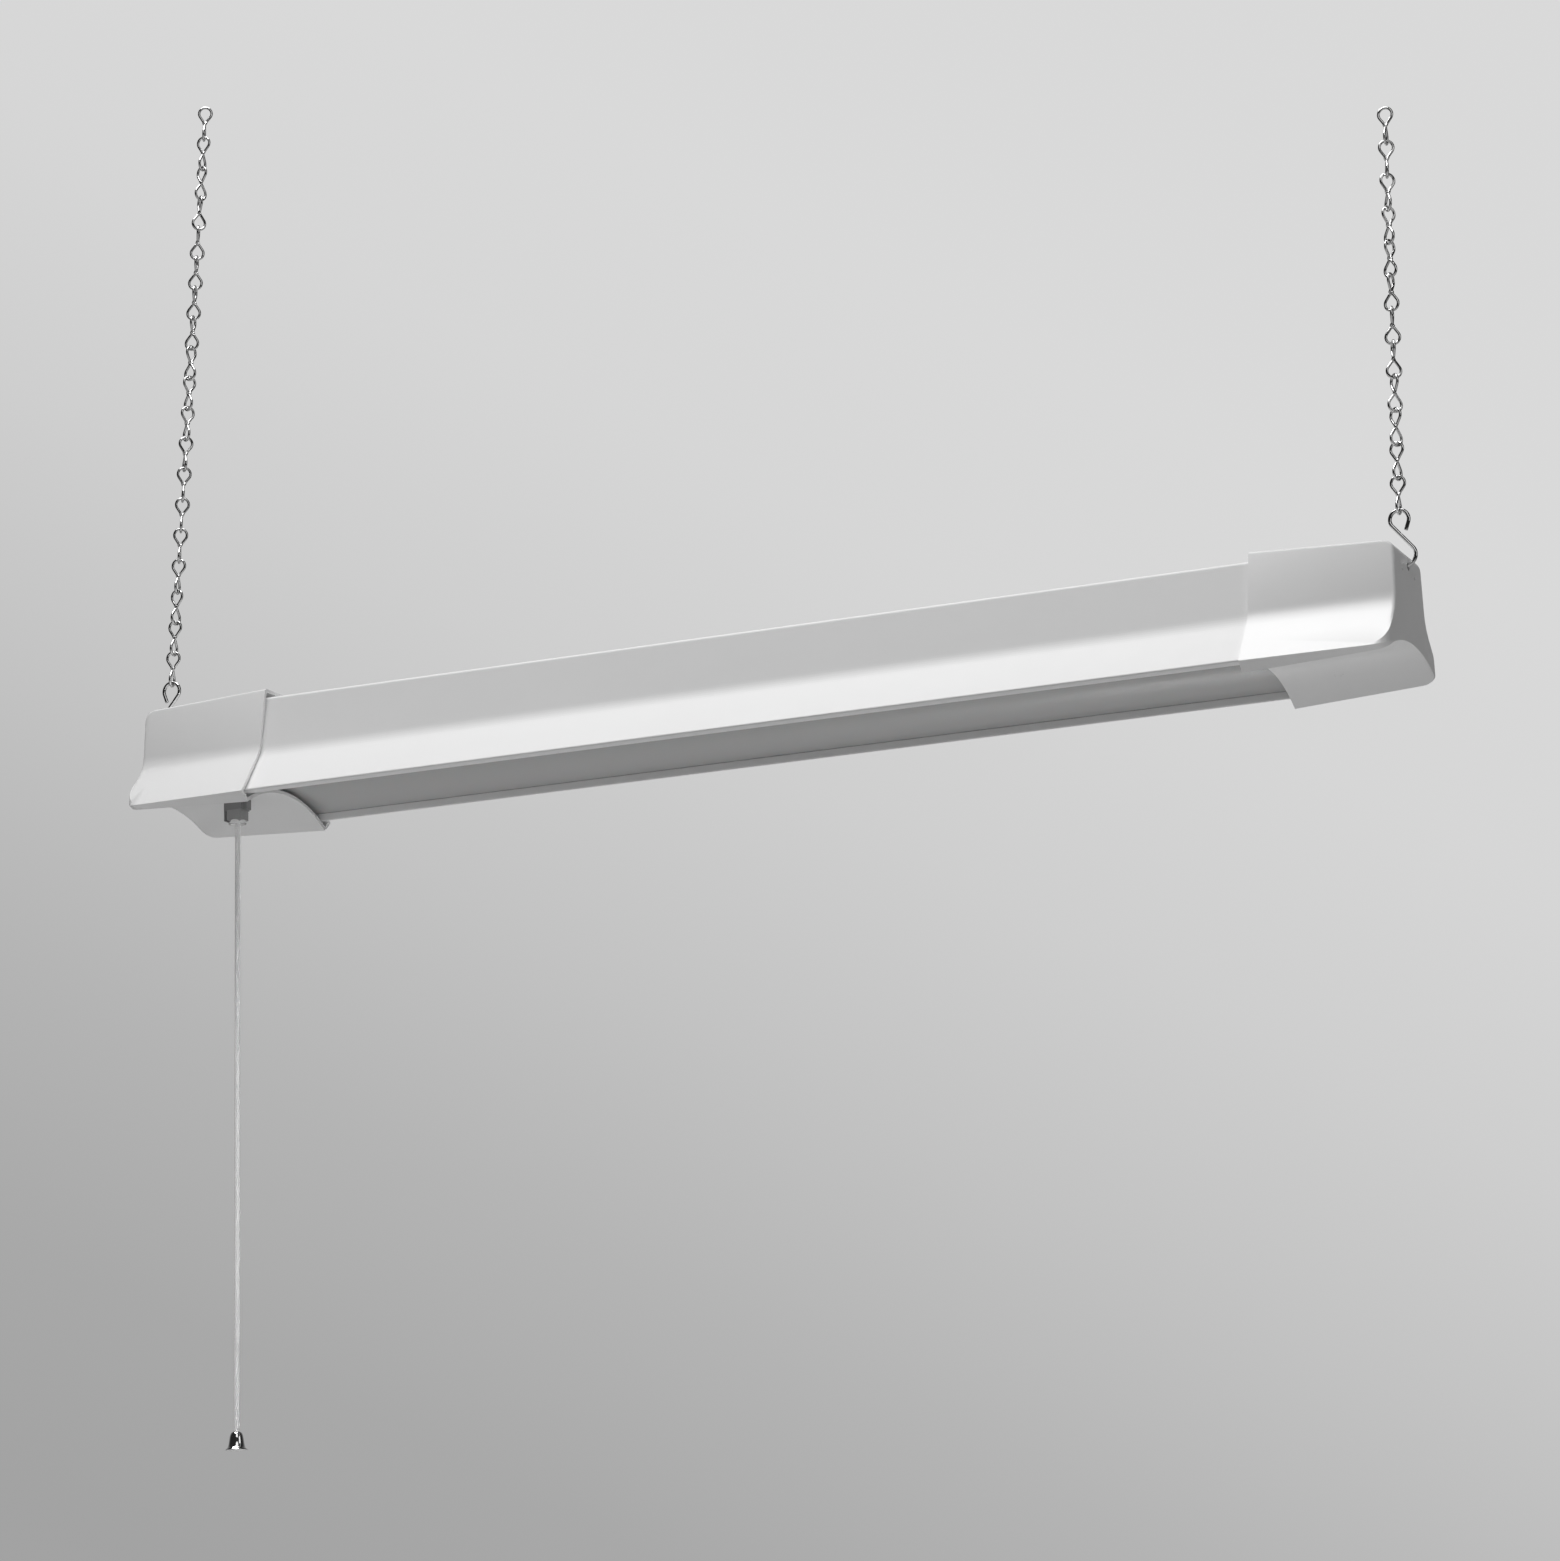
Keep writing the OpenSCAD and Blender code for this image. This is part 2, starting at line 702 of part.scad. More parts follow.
module plate_screws() {
  x = end_x - cap_wall - fit - plate_t;
  color("silver") hung() for (s = [0, 1], y = [-1, 1])
    mirror([s, 0, 0]) translate([x, y * plate_screw_y, plate_screw_z]) rotate([0, -90, 0])
      screw(small_screw_d, plate_t + fit + cap_wall - 0.4, small_head_d, small_head_h);
}

// Half a link: a drop-shaped loop standing on the waist, in the X-Z plane
module link_loop() {
  cz = link_len / 2 - loop_r;
  d = norm([waist_x, cz - waist_z]);
  touch = acos(loop_r / d) - atan2(cz - waist_z, waist_x);
  p = [loop_r * cos(touch), cz + loop_r * sin(touch)];
  u = unit([waist_x, waist_z] - p);
  wire_arc(0, cz, loop_r, touch, 180 - touch, link_r);
  for (s = [-1, 1])
    rod([s * (p[0] - 0.3 * u[0]), 0, p[1] - 0.3 * u[1]], [s * waist_x, 0, waist_z], link_r - 0.03);
}

// A link of jack chain: two loops set square to each other, joined at the waist
module link() {
  link_loop();
  rotate([180, 0, 90]) link_loop();
  cylinder(h = waist_h, r = waist_r, center = true);
}

function left_turn(i) =
  let (last = len(left_turns) - 1)
  left_turns[min(i, last)] + 15 * max(i - last, 0);

function right_turn(i) = -i * right_twist;

// Links from number a to number b of a chain that starts at a hook's x and leans
module links(x, lean, a, b) {
  translate([x, 0, first_link_z]) rotate([0, lean, 0])
    for (i = [a:b])
      translate([0, 0, i * link_pitch + link_len / 2])
        rotate(x < 0 ? left_turn(i) : right_turn(i)) link();
}

module left_chain() {
  color("silver") hung() links(-hook_top_x, left_lean, 0, left_links - 2);
}

module right_chain() {
  color("silver") hung() links(hook_top_x, right_lean, 0, right_links - 2);
}

module left_ceiling_link() {
  color("silver") hung() links(-hook_top_x, left_lean, left_links - 1, left_links - 1);
}

module right_ceiling_link() {
  color("silver") hung() links(hook_top_x, right_lean, right_links - 1, right_links - 1);
}

// ------------------------------------------------------------ gear and lamps

module gear_tray() {
  color("white") hung() difference() {
    union() {
      translate([-tray_l / 2, -tray_y, tray_z]) cube([tray_l, 2 * tray_y, tray_t]);
      for (y = [-tray_y, tray_y - tray_t])
        translate([-tray_l / 2, y, tray_z]) cube([tray_l, tray_t, tray_t + tray_flange_h]);
    }
    for (x = standoff_xs, y = [-1, 1])
      translate([x, y * standoff_y, tray_z - over])
        cylinder(h = tray_t + 2 * over, d = screw_d + slip);
    for (s = [-1, 1], i = board_screw_steps)
      translate([s * board_screw_x(i), 0, tray_z - over])
        cylinder(h = tray_t + 2 * over, d = small_screw_d + slip);
    for (s = [-1, 1])
      translate([driver_tab_x(s), 0, tray_z - over])
        cylinder(h = tray_t + 2 * over, d = small_screw_d + slip);
    translate([-lamp_lead_x, 0, tray_z - over])
      cylinder(h = tray_t + 2 * over, d = grommet_hole_d);
  }
}

function board_screw_x(i) = led_first + (i + 0.5) * led_pitch;

function driver_tab_x(s) = -driver_x + s * (driver_l / 2 + driver_tab_l / 2);

module standoffs() {
  color("silver") hung() for (x = standoff_xs, y = [-1, 1])
    translate([x, y * standoff_y, tray_top]) difference() {
      cylinder(h = standoff_h, d = standoff_d);
      translate([0, 0, -over]) cylinder(h = 10, d = screw_d + slip);
    }
}

module tray_screws() {
  color("silver") hung() for (x = standoff_xs, y = [-1, 1])
    translate([x, y * standoff_y, tray_z]) rotate([180, 0, 0])
      screw(screw_d, tray_t + 8, screw_head_d, screw_head_h);
}

module led_board() {
  difference() {
    translate([board_x, -board_w / 2, board_z]) cube([board_l, board_w, board_t]);
    for (i = board_screw_steps)
      translate([board_screw_x(i), 0, board_z - over])
        cylinder(h = board_t + 2 * over, d = small_screw_d + slip);
    for (y = [-1, 1])
      translate([lamp_lead_x, y * lead_pad_y, board_z - over])
        cylinder(h = board_t + 2 * over, d = lead_d + 0.2);
  }
}

lead_pad_y = 1.6;

module left_led_board() {
  color("ivory") hung() left_side() led_board();
}

module right_led_board() {
  color("ivory") hung() led_board();
}

module leds() {
  for (i = [0:led_n - 1])
    translate([led_first + i * led_pitch - led_size / 2, -led_size / 2, board_z - led_h])
      cube([led_size, led_size, led_h]);
}

module left_leds() {
  color("khaki") hung() left_side() leds();
}

module right_leds() {
  color("khaki") hung() leds();
}

module board_screws() {
  color("silver") hung() for (s = [-1, 1], i = board_screw_steps)
    translate([s * board_screw_x(i), 0, board_z]) rotate([180, 0, 0])
      screw(small_screw_d, board_t + tray_t - 0.2, small_head_d, small_head_h);
}

// ------------------------------------------------------------------- driver

module driver_case() {
  color("gray") hung() translate([-driver_x, 0, driver_z]) difference() {
    union() {
      translate([-driver_l / 2, -driver_w / 2, 0]) cube([driver_l, driver_w, driver_h]);
      translate([-driver_l / 2 - driver_tab_l, -driver_w / 4, 0])
        cube([driver_l + 2 * driver_tab_l, driver_w / 2, driver_wall]);
    }
    translate([-driver_l / 2 + driver_wall, -driver_w / 2 + driver_wall, driver_wall])
      cube([driver_l - 2 * driver_wall, driver_w - 2 * driver_wall, driver_h]);
    for (s = [-1, 1]) {
      translate([s * (driver_l / 2 + driver_tab_l / 2), 0, -over])
        cylinder(h = driver_wall + 2 * over, d = small_screw_d + 2 * fit);
      translate([s * driver_l / 2, -lead_y, tray_lead_z - driver_z]) rotate([0, 90, 0])
        cylinder(h = 4 * driver_wall, d = lead_d + 2 * fit, center = true);
      translate([s * driver_l / 2, lead_y, tray_lead_z - driver_z]) rotate([0, 90, 0])
        cylinder(h = 4 * driver_wall, d = lead_d + 2 * fit, center = true);
    }
  }
}

module driver_cover() {
  lip = driver_wall + fit;
  color("gray") hung() translate([-driver_x, 0, driver_top]) difference() {
    translate([-driver_l / 2, -driver_w / 2, -3]) cube([driver_l, driver_w, 3 + driver_wall]);
    translate([-driver_l / 2 - over, -driver_w / 2 - over, -3 - over])
      cube([driver_l + 2 * over, over + lip, 3 + over]);
    translate([-driver_l / 2 - over, driver_w / 2 - lip, -3 - over])
      cube([driver_l + 2 * over, over + lip, 3 + over]);
    translate([-driver_l / 2 - over, -driver_w, -3 - over])
      cube([over + lip, 2 * driver_w, 3 + over]);
    translate([driver_l / 2 - lip, -driver_w, -3 - over])
      cube([over + lip, 2 * driver_w, 3 + over]);
    translate([-driver_l / 2 + 2 * lip, -driver_w / 2 + 2 * lip, -3 - over])
      cube([driver_l - 4 * lip, driver_w - 4 * lip, 3 + over]);
  }
}

module driver_board() {
  inset = driver_wall + fit;
  color("darkgreen") hung() translate([-driver_x, 0, 0]) union() {
    translate([-driver_l / 2 + inset, -driver_w / 2 + inset, driver_board_z])
      cube([driver_l - 2 * inset, driver_w - 2 * inset, driver_board_t]);
    for (x = [-1, 1], y = [-1, 1])
      translate([x * (driver_l / 2 - 8), y * (driver_w / 2 - 6), driver_z + driver_wall])
        cylinder(h = driver_board_z - driver_z - driver_wall, d = 4);
  }
}

module driver_transformer() {
  z = driver_board_z + driver_board_t;
  color("goldenrod") hung() translate([-driver_x - 20, 0, z]) {
    translate([-9, -8, 0]) cube([18, 16, 3]);
    translate([-9, -8, 11]) cube([18, 16, 3]);
    translate([0, 0, 2.5]) cylinder(h = 9, d = 13);
  }
}

module driver_capacitors() {
  z = driver_board_z + driver_board_t;
  color("midnightblue") hung() for (x = [-52, 22])
    translate([-driver_x + x, 0, z]) cylinder(h = 13, d = 10);
}

module driver_screws() {
  color("silver") hung() for (s = [-1, 1])
    translate([driver_tab_x(s), 0, driver_z + driver_wall])
      screw(small_screw_d, driver_wall + tray_t - 0.2, small_head_d, small_head_h);
}

// ------------------------------------------------- mains gland and terminal

module cord_gland() {
  color("dimgray") hung() translate([-end_x, 0, gland_z]) rotate([0, 90, 0]) difference() {
    union() {
      translate([0, 0, -gland_flange_t]) cylinder(h = gland_flange_t, d = gland_flange_d);
      cylinder(h = gland_len, d = gland_d);
    }
    translate([0, 0, -gland_flange_t - over])
      cylinder(h = gland_len + gland_flange_t + 2 * over, d = gland_bore_d);
  }
}

module gland_nut() {
  color("dimgray") hung() translate([-end_x + cap_wall, 0, gland_z]) rotate([0, 90, 0])
    difference() {
      cylinder(h = gland_nut_t, d = gland_flange_d + 2, $fn = 6);
      translate([0, 0, -over]) cylinder(h = gland_nut_t + 2 * over, d = gland_d + slip);
    }
}

module terminal_block() {
  color("ivory") hung() translate([terminal_x, 0, terminal_z + slip]) difference() {
    translate([-terminal_l / 2, -terminal_w / 2, 0]) cube([terminal_l, terminal_w, terminal_h]);
    for (y = [-lead_y, lead_y])
      translate([-terminal_l / 2 - over, y, terminal_h / 2]) rotate([0, 90, 0])
        cylinder(h = terminal_l + 2 * over, d = lead_d + 0.2);
    for (x = [-5, 5], y = [-lead_y, lead_y])
      translate([x, y, terminal_h - 3]) cylinder(h = 4, d = 4);
  }
}

// -------------------------------------------------------------- pull switch

module at_switch() {
  hung() translate([switch_x, 0, 0]) children();
}

module switch_case() {
  color("dimgray") at_switch() difference() {
    union() {
      translate([-switch_w / 2, -switch_d / 2, switch_z]) cube([switch_w, switch_d, switch_h]);
      translate([0, 0, neck_z]) cylinder(h = switch_z - neck_z + 1, d = neck_d);
    }
    translate([-switch_w / 2 + switch_wall, -switch_d / 2 + switch_wall, switch_z + switch_floor])
      cube([switch_w - 2 * switch_wall, switch_d - 2 * switch_wall, switch_h]);
    translate([0, 0, neck_z - over]) cylinder(h = switch_z - neck_z + over, d = neck_bore_d);
    translate([0, 0, switch_z - over]) cylinder(h = 5, d = rod_d + 2 * fit);
    translate([rotor_x, 0, rotor_z]) rotate([90, 0, 0])
      cylinder(h = switch_d + 2 * over, d = rotor_pin_d, center = true);
    for (s = [-1, 1])
      translate([s * switch_w / 2, 0, switch_z + 10]) rotate([0, 90, 0])
        cylinder(h = 4 * switch_wall, d = lead_d + 2 * fit, center = true);
  }
}

module switch_cover() {
  w = switch_w - 2 * switch_wall - 2 * fit;
  d = switch_d - 2 * switch_wall - 2 * fit;
  color("dimgray") at_switch() union() {
    translate([-switch_w / 2, -switch_d / 2, switch_top]) cube([switch_w, switch_d, 1.6]);
    difference() {
      translate([-w / 2, -d / 2, switch_top - 1.5]) cube([w, d, 2]);
      translate([-w / 2 + 1, -d / 2 + 1, switch_top - 2.5]) cube([w - 2, d - 2, 2.5]);
    }
  }
}

module switch_rotor() {
  color("ivory") at_switch() translate([rotor_x, 0, rotor_z]) rotate([90, 0, 0])
    difference() {
      union() {
        cylinder(h = rotor_t, r = rotor_r - 0.8, center = true);
        for (a = [0:360 / rotor_teeth:179])
          rotate(a) cube([2 * rotor_r - 0.2, 1.2, rotor_t - 0.4], center = true);
      }
      cylinder(h = rotor_t + 2 * over, d = rotor_pin_d + 2 * slip, center = true);
    }
}

module rotor_pin() {
  color("silver") at_switch() translate([rotor_x, 0, rotor_z]) rotate([90, 0, 0])
    cylinder(h = switch_d - 0.4, d = rotor_pin_d, center = true);
}

// Two brass leaves on the case's side walls, one for each lead
module switch_contacts() {
  x = switch_w / 2 - switch_wall - leaf_gap;
  z = switch_z + switch_floor;
  color("gold") at_switch() for (s = [-1, 1])
    mirror([s < 0 ? 1 : 0, 0, 0]) {
      translate([x - leaf_t, -3, z]) cube([leaf_t, 6, 12]);
      translate([x - 3.5, -3, z]) cube([3, 6, leaf_t]);
    }
}

// A shallow bar with a thin tab at its left end, and a square core round the neck
module switch_block() {
  core = neck_hole_d + 2.6;
  h = switch_arch_z - block_z - 1.2;
  color("dimgray") at_switch() difference() {
    union() {
      translate([-block_w / 2, -block_d / 2, block_z]) cube([block_w, block_d, h]);
      translate([-core / 2, -core / 2, block_z]) cube([core, core, h]);
      translate([-block_w / 2, -block_d / 2, nut_z])
        cube([block_tab_t, block_d, block_z - nut_z + 0.5]);
    }
    translate([0, 0, block_z - over]) cylinder(h = 30, d = neck_hole_d);
  }
}

module switch_nut() {
  color("dimgray") at_switch() difference() {
    translate([-nut_w / 2, -nut_w / 2, nut_z]) cube([nut_w, nut_w, block_z - nut_z]);
    translate([0, 0, nut_z - over]) cylinder(h = block_z - nut_z + 2 * over, d = neck_d + slip);
  }
}

// The flared ring that guides the cord
module bell_mouth() {
  r = neck_bore_d / 2 + 0.1;
  out = neck_d / 2 + 1.8;
  color("silver") at_switch() rotate_extrude()
    polygon([[r, nut_z], [r + 0.2, nut_z - 1], [r + 0.8, mouth_z + 1.1], [r + 1.7, mouth_z + 0.3],
      [r + 2.2, mouth_z], [out - 0.3, mouth_z], [out, mouth_z + 0.5], [out - 0.7, nut_z]]);
}

module pull_rod() {
  cup_top = ball_z + cup_r + cup_wall;
  color("silver") at_switch() union() {
    translate([0, 0, cup_top - 0.5]) cylinder(h = rod_top - cup_top + 0.5, d = rod_d);
    difference() {
      translate([0, 0, cup_open_z]) cylinder(h = cup_top - cup_open_z, r = cup_r + cup_wall - 0.3);
      translate([0, 0, ball_z]) sphere(r = cup_r);
    }
  }
}

module rod_collar() {
  color("silver") at_switch() translate([0, 0, collar_z]) difference() {
    cylinder(h = collar_h, d = collar_d);
    translate([0, 0, -over]) cylinder(h = collar_h + 2 * over, d = rod_d + slip);
  }
}

module return_spring() {
  low = switch_z + switch_floor + spring_wire_r + 0.1;
  high = collar_z - spring_wire_r - 0.1;
  steps = spring_turns * 12;
  color("silver") at_switch()
    tube([for (i = [0:steps])
      [spring_r * cos(30 * i), spring_r * sin(30 * i), low + (high - low) * i / steps]],
      spring_wire_r, 5);
}

module cord_ball() {
  color("silver") at_switch() translate([0, 0, ball_z]) sphere(d = ball_d);
}

module pull_cord() {
  color("whitesmoke") at_switch() tube(spread(cord_route, 11), cord_d / 2, 8);
}

module cord_knot() {
  color("whitesmoke") at_switch() translate([cord_end[0], cord_end[1], 0]) difference() {
    translate([0, 0, knot_z]) sphere(d = knot_d);
    translate([-knot_d, -knot_d, cord_end[2]]) cube([2 * knot_d, 2 * knot_d, knot_d]);
  }
}

module cord_bell() {
  r = bell_d / 2;
  n = bell_neck_d / 2;
  h = bell_h;
  t = bell_wall;
  outer = [[n - 1, 0], [n, -1], [n + 0.6, -h * 0.3], [n + 1.4, -h * 0.6], [r - 1.8, -h * 0.88],
    [r, -h]];
  inner = [[r - t, -h], [r - 1.8 - t, -h * 0.86], [n + 1.4 - t, -h * 0.6],
    [n + 0.6 - t, -h * 0.3], [n - t, -t]];
  hole = cord_d / 2 + fit;
  color("silver") at_switch() translate([cord_end[0], cord_end[1], bell_top_z])
    rotate_extrude() polygon(concat([[hole, 0]], outer, inner, [[hole, -t]]));
}

// -------------------------------------------------------------------- leads

module lead(points) {
  hung() tube(spread(points, 30), lead_d / 2, 6);
}

module live_lead() {
  z = terminal_z + terminal_h / 2;
  x = switch_x - switch_w / 2;
  color("black") lead([
    [terminal_x + 2, -lead_y, z], [terminal_x + terminal_l / 2 + 3, -lead_y, z],
    [x - 4, -3, switch_z + 9], [x - 2, 0, switch_z + 10],
    [x + switch_wall + leaf_gap, 0, switch_z + 10]
  ]);
}

module switched_lead() {
  x = switch_x + switch_w / 2;
  end = -driver_x - driver_l / 2 + driver_wall + 2;
  color("black") lead([
    [x - switch_wall - leaf_gap, 0, switch_z + 10], [x + 3, 0, switch_z + 10],
    [x + 10, -3, switch_z + 16], [x + 30, -lead_y, tray_z], [x + 50, -lead_y, tray_lead_z],
    [end - 20, -lead_y, tray_lead_z], [end, -lead_y, tray_lead_z]
  ]);
}

module neutral_lead() {
  z = terminal_z + terminal_h / 2;
  x = switch_x + switch_w / 2;
  y = switch_d / 2 + 3;
  end = -driver_x - driver_l / 2 + driver_wall + 2;
  color("white") lead([
    [terminal_x + 2, lead_y, z], [terminal_x + terminal_l / 2 + 3, lead_y, z],
    [switch_x - switch_w / 2 + 2, y, z + 6], [x - 4, y, tray_z - 14],
    [x + 30, y, tray_z + 2], [x + 50, lead_y, tray_lead_z],
    [end - 20, lead_y, tray_lead_z], [end, lead_y, tray_lead_z]
  ]);
}

// From the driver's inner end through the tray to the boards
module lamp_lead() {
  start = -driver_x + driver_l / 2 - driver_wall - 2;
  color("red") lead([
    [start, -lead_y, tray_lead_z], [start + 8, -lead_y, tray_lead_z],
    [-lamp_lead_x - 2, -lead_pad_y, tray_lead_z - 2], [-lamp_lead_x, -lead_pad_y, tray_lead_z - 6],
    [-lamp_lead_x, -lead_pad_y, board_z + 0.2]
  ]);
}

module tray_grommet() {
  color("dimgray") hung() translate([-lamp_lead_x, 0, tray_z]) difference() {
    union() {
      cylinder(h = tray_t, d = grommet_hole_d - slip);
      translate([0, 0, tray_t]) cylinder(h = 1.2, d = grommet_hole_d + 3);
    }
    translate([0, 0, -over]) cylinder(h = 5, d = grommet_hole_d - 2.2);
  }
}

// -------------------------------------------------------------------- nodes

housing_channel();
left_end_cap();
right_end_cap();
diffuser();
cap_screws();
left_hook();
right_hook();
left_hook_plate();
right_hook_plate();
plate_screws();
left_ceiling_link();
right_ceiling_link();
left_chain();
right_chain();
gear_tray();
standoffs();
tray_screws();
left_led_board();
right_led_board();
left_leds();
right_leds();
board_screws();
driver_case();
driver_cover();
driver_board();
driver_transformer();
driver_capacitors();
driver_screws();
tray_grommet();
cord_gland();
gland_nut();
terminal_block();
switch_case();
switch_cover();
switch_rotor();
rotor_pin();
switch_contacts();
switch_block();
switch_nut();
bell_mouth();
pull_rod();
rod_collar();
return_spring();
cord_ball();
pull_cord();
cord_knot();
cord_bell();
live_lead();
switched_lead();
neutral_lead();
lamp_lead();
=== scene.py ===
import json
import math

import bmesh
import bpy
from mathutils import Matrix, Vector


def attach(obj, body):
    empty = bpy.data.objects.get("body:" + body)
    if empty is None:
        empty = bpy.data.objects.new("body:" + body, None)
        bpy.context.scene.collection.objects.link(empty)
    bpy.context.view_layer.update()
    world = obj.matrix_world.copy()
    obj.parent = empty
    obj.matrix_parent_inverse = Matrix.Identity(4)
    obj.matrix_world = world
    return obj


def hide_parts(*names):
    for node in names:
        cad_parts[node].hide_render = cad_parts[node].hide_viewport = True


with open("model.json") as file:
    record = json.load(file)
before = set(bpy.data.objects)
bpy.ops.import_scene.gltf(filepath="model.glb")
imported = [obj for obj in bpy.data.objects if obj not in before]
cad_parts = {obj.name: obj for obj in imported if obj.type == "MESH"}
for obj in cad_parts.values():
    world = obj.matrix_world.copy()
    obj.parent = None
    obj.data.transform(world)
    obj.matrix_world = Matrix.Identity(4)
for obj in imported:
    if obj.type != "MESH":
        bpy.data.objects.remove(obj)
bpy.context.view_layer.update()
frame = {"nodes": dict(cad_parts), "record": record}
nodes = frame["nodes"]
print("frame loaded:", len(nodes), "nodes")

mm = 0.001
hangZ = 0.581375      # the lamp's zero height lies this far below the origin

# camera
cameraView = {"place": (1.5693, -3.6407, -1.505775), "yaw": 23.039, "pitch": 12.714,
              "roll": -1.765, "lens": 109.16, "sensor": 36.0, "near": 0.1, "far": 60}
cameraData = bpy.data.cameras.new("photoCamera")
cameraData.lens, cameraData.sensor_width = cameraView["lens"], cameraView["sensor"]
cameraData.clip_start, cameraData.clip_end = cameraView["near"], cameraView["far"]
camera = bpy.data.objects.new("photoCamera", cameraData)
bpy.context.scene.collection.objects.link(camera)
camera.matrix_world = (Matrix.Translation(cameraView["place"])
                       @ Matrix.Rotation(math.radians(cameraView["yaw"]), 4, "Z")
                       @ Matrix.Rotation(math.radians(90 + cameraView["pitch"]), 4, "X")
                       @ Matrix.Rotation(math.radians(cameraView["roll"]), 4, "Z"))
bpy.context.scene.camera = camera


# small tools
def lampPoint(x, y, z):
    return Vector((x * mm, y * mm, z * mm - hangZ))


def addObject(name, mesh, body, material=None, instead=()):
    piece = bpy.data.objects.new(name, mesh)
    bpy.context.scene.collection.objects.link(piece)
    if material:
        piece.data.materials.clear()
        piece.data.materials.append(material)
    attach(piece, body)
    if instead:
        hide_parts(*instead)
    return piece


def meshFrom(bm, name, sharpAngle=35):
    bmesh.ops.remove_doubles(bm, verts=bm.verts, dist=1e-6)
    bmesh.ops.recalc_face_normals(bm, faces=bm.faces)
    for face in bm.faces:
        face.smooth = True
    for edge in bm.edges:
        edge.smooth = len(edge.link_faces) == 2 and edge.calc_face_angle(0) < math.radians(sharpAngle)
    mesh = bpy.data.meshes.new(name)
    bm.to_mesh(mesh)
    bm.free()
    return mesh


# rings swept along the points of a wire, joined end to start when the wire closes on itself
def wireMesh(bm, points, radius, sides=12, closed=False):
    n, up, rings = len(points), None, []
    for i, p in enumerate(points):
        ahead = points[(i + 1) % n] if closed else points[min(i + 1, n - 1)]
        behind = points[(i - 1) % n] if closed else points[max(i - 1, 0)]
        along = (ahead - behind).normalized()
        up = up or along.orthogonal()
        up = (up - along * up.dot(along)).normalized()
        turn = Matrix((along.cross(up), up, along)).transposed().to_4x4()
        made = bmesh.ops.create_circle(bm, segments=sides, radius=radius,
                                       matrix=Matrix.Translation(p) @ turn)
        rings.append(list({edge for vert in made["verts"] for edge in vert.link_edges}))
    for a, b in list(zip(rings, rings[1:])) + [(rings[-1], rings[0])] * closed:
        bmesh.ops.bridge_loops(bm, edges=a + b)
    if not closed:
        bmesh.ops.holes_fill(bm, edges=rings[0] + rings[-1], sides=0)
    return rings


# materials as maths
class Wire:
    def __init__(self, tree, socket):
        self.tree, self.socket = tree, socket

    def node(self, kind, settings=None, inputs=None, out=0):
        made = self.tree.nodes.new(kind)
        for key, value in (settings or {}).items():
            if key == "stops":
                ramp = made.color_ramp
                while len(ramp.elements) < len(value):
                    ramp.elements.new(0.5)
                for element, (place, colour) in zip(ramp.elements, value):
                    element.position, element.color = place, colour
            else:
                setattr(made, key, value)
        for key, value in (inputs or {}).items():
            if isinstance(value, Wire):
                self.tree.links.new(value.socket, made.inputs[key])
            else:
                made.inputs[key].default_value = value
        return Wire(self.tree, made.outputs[out] if made.outputs else None)

    def maths(self, operation, first, second):
        return self.node("ShaderNodeMath", {"operation": operation}, {0: first, 1: second})

    def __add__(self, other):
        return self.maths("ADD", self, other)

    def __mul__(self, other):
        return self.maths("MULTIPLY", self, other)

    __radd__, __rmul__ = __add__, __mul__


def newMaterial(name):
    material = bpy.data.materials.new(name)
    material.use_nodes = True
    tree = material.node_tree
    tree.nodes.clear()
    start = Wire(tree, None)
    place = start.node("ShaderNodeTexCoord", out=3)
    return material, start, place


def closeMaterial(start, inputs):
    shader = start.node("ShaderNodeBsdfPrincipled", None, inputs)
    start.node("ShaderNodeOutputMaterial", None, {0: shader})


def grey(value):
    return (value, value, value, 1)


# smooth painted or moulded surface: broad tone, fine grain, rub marks
def makeShell(name, tone, rough, grain, mottle=0.02, metal=0.0, warm=(1, 1, 1), soft=None):
    material, start, place = newMaterial(name)
    broad = start.node("ShaderNodeTexNoise", None, {"Vector": place, "Scale": 9.0, "Detail": 3.0})
    fine = start.node("ShaderNodeTexNoise", None, {"Vector": place, "Scale": grain, "Detail": 2.0})
    rub = start.node("ShaderNodeTexNoise", {"noise_dimensions": "3D"},
                     {"Vector": place, "Scale": 60.0, "Detail": 6.0, "Roughness": 0.7})
    low = tuple(max(tone * c * (1 - mottle), 0) for c in warm) + (1,)
    high = tuple(min(tone * c * (1 + mottle), 1) for c in warm) + (1,)
    colour = start.node("ShaderNodeMix", {"data_type": "RGBA"},
                        {"Factor": broad * 0.7 + rub * 0.3, 6: low, 7: high}, out=2)
    bump = start.node("ShaderNodeBump", None,
                      {"Strength": 0.12, "Distance": 0.0004, "Height": fine * 0.8 + rub * 0.2})
    inputs = {"Base Color": colour, "Roughness": rough - 0.06 + rub * 0.12, "Metallic": metal,
              "Normal": bump}
    if soft:
        inputs.update({"Subsurface Weight": soft, "Subsurface Scale": 0.004})
    closeMaterial(start, inputs)
    return material


